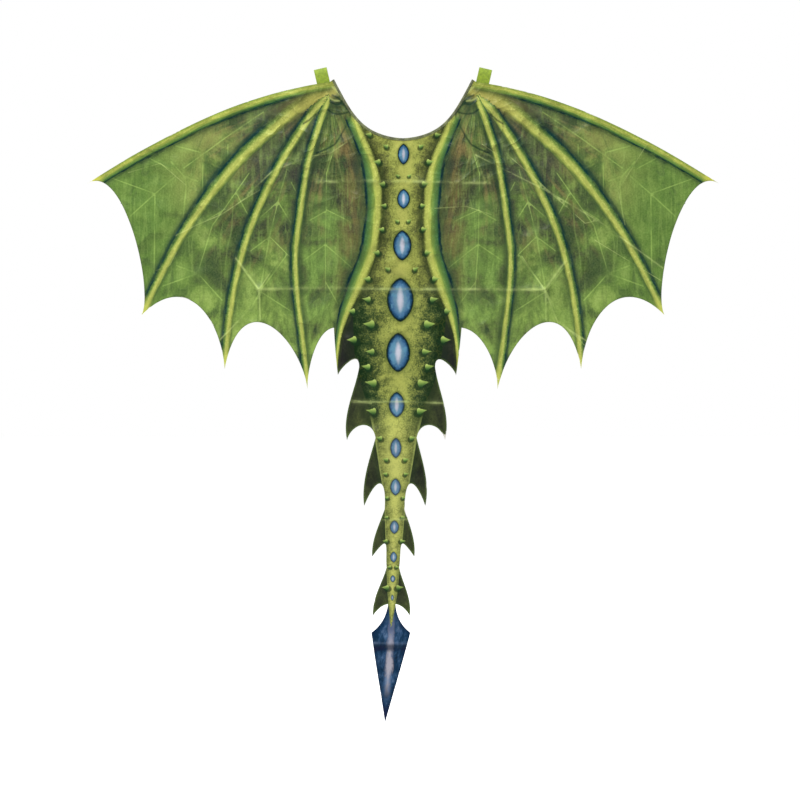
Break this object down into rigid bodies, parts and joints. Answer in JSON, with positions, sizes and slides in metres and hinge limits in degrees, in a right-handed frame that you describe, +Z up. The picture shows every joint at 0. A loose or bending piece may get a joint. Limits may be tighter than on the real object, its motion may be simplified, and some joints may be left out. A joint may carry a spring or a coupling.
{
  "type": "dragon wings and tail costume",
  "caption": "Wearable dragon wings and tail of printed cloth with elastic arm straps, in olive green with a blue spade at the tail.",
  "frame": {"origin": "on the shoulder line, midway between the two arm straps, in the middle of the cloth's thickness", "axes": "+Z up; +X towards the right wing; the printed side faces -Y and the wearer is on the +Y side"},
  "size_m": [1.198, 0.0978, 1.2451],
  "materials": {
    "wing_cloth": "satin",
    "tail_cloth": "satin",
    "spade_cloth": "satin",
    "elastic": "matte",
    "thin_elastic": "matte",
    "binding_tape": "matte",
    "label_tape": "satin",
    "thread": "matte"
  },
  "bodies": {
    "back": {"back_panel": "wing_cloth", "neck_binding": "binding_tape", "right_strap_upper_end": "elastic", "right_strap_lower_end": "elastic", "right_strap_stitching": "thread", "left_strap_upper_end": "elastic", "left_strap_lower_end": "elastic", "left_strap_stitching": "thread", "care_label_top": "label_tape", "care_label_stitching": "thread"},
    "tail_root": {"tail_root_panel": "tail_cloth"},
    "tail_middle": {"tail_middle_panel": "tail_cloth"},
    "tail_lower": {"tail_lower_panel": "tail_cloth"},
    "tail_end": {"tail_spade": "spade_cloth"},
    "label": {"care_label": "label_tape"},
    "right_wing_arm": {"right_wing_arm_panel": "wing_cloth"},
    "right_wing_forearm": {"right_wing_forearm_panel": "wing_cloth"},
    "right_wing_tip": {"right_wing_tip_panel": "wing_cloth", "right_finger_loop_ends": "thin_elastic", "right_finger_loop_stitching": "thread"},
    "right_strap": {"right_arm_strap": "elastic"},
    "right_finger": {"right_finger_loop": "thin_elastic"},
    "left_wing_arm": {"left_wing_arm_panel": "wing_cloth"},
    "left_wing_forearm": {"left_wing_forearm_panel": "wing_cloth"},
    "left_wing_tip": {"left_wing_tip_panel": "wing_cloth", "left_finger_loop_ends": "thin_elastic", "left_finger_loop_stitching": "thread"},
    "left_strap": {"left_arm_strap": "elastic"},
    "left_finger": {"left_finger_loop": "thin_elastic"}
  },
  "joints": [
    {"name": "right_wing_shoulder_fold", "type": "hinge", "parent": "back", "child": "right_wing_arm", "pos_m": [0.205, 0, -0.25], "axis": [0, 0, 1], "range_deg": [-60, 90]},
    {"name": "right_wing_elbow_fold", "type": "hinge", "parent": "right_wing_arm", "child": "right_wing_forearm", "pos_m": [0.385, 0, -0.25], "axis": [0, 0, 1], "range_deg": [-45, 60]},
    {"name": "right_wing_tip_fold", "type": "hinge", "parent": "right_wing_forearm", "child": "right_wing_tip", "pos_m": [0.512, 0, -0.2], "axis": [0, 0, 1], "range_deg": [-60, 60]},
    {"name": "right_arm_strap_swing", "type": "hinge", "parent": "back", "child": "right_strap", "pos_m": [0.15212, 0.0012, 0.00387], "axis": [0.2248, -0.0372, 0.9737], "range_deg": [-15, 50], "stiffness_Nm_per_rad": 0.05},
    {"name": "right_finger_loop_swing", "type": "hinge", "parent": "right_wing_tip", "child": "right_finger", "pos_m": [0.532, 0.005, -0.195], "axis": [0, 0, 1], "range_deg": [-40, 40], "stiffness_Nm_per_rad": 0.001},
    {"name": "left_wing_shoulder_fold", "type": "hinge", "parent": "back", "child": "left_wing_arm", "pos_m": [-0.205, 0, -0.25], "axis": [0, 0, -1], "range_deg": [-60, 90]},
    {"name": "left_wing_elbow_fold", "type": "hinge", "parent": "left_wing_arm", "child": "left_wing_forearm", "pos_m": [-0.385, 0, -0.25], "axis": [0, 0, -1], "range_deg": [-45, 60]},
    {"name": "left_wing_tip_fold", "type": "hinge", "parent": "left_wing_forearm", "child": "left_wing_tip", "pos_m": [-0.512, 0, -0.2], "axis": [0, 0, -1], "range_deg": [-60, 60]},
    {"name": "left_arm_strap_swing", "type": "hinge", "parent": "back", "child": "left_strap", "pos_m": [-0.15212, 0.0012, 0.00387], "axis": [0.2248, 0.0372, -0.9737], "range_deg": [-15, 50], "stiffness_Nm_per_rad": 0.05},
    {"name": "left_finger_loop_swing", "type": "hinge", "parent": "left_wing_tip", "child": "left_finger", "pos_m": [-0.532, 0.005, -0.195], "axis": [0, 0, -1], "range_deg": [-40, 40], "stiffness_Nm_per_rad": 0.001},
    {"name": "tail_root_fold", "type": "hinge", "parent": "back", "child": "tail_root", "pos_m": [0, 0, -0.47], "axis": [1, 0, 0], "range_deg": [-60, 30]},
    {"name": "tail_middle_fold", "type": "hinge", "parent": "tail_root", "child": "tail_middle", "pos_m": [0, 0, -0.607], "axis": [1, 0, 0], "range_deg": [-60, 30]},
    {"name": "tail_lower_fold", "type": "hinge", "parent": "tail_middle", "child": "tail_lower", "pos_m": [0, 0, -0.83], "axis": [1, 0, 0], "range_deg": [-75, 30]},
    {"name": "tail_spade_fold", "type": "hinge", "parent": "tail_lower", "child": "tail_end", "pos_m": [0, 0, -1.064], "axis": [1, 0, 0], "range_deg": [-75, 30]},
    {"name": "care_label_flap", "type": "hinge", "parent": "back", "child": "label", "pos_m": [0, 0.0012, -0.1244], "axis": [1, 0, 0], "range_deg": [0, 150]}
  ]
}
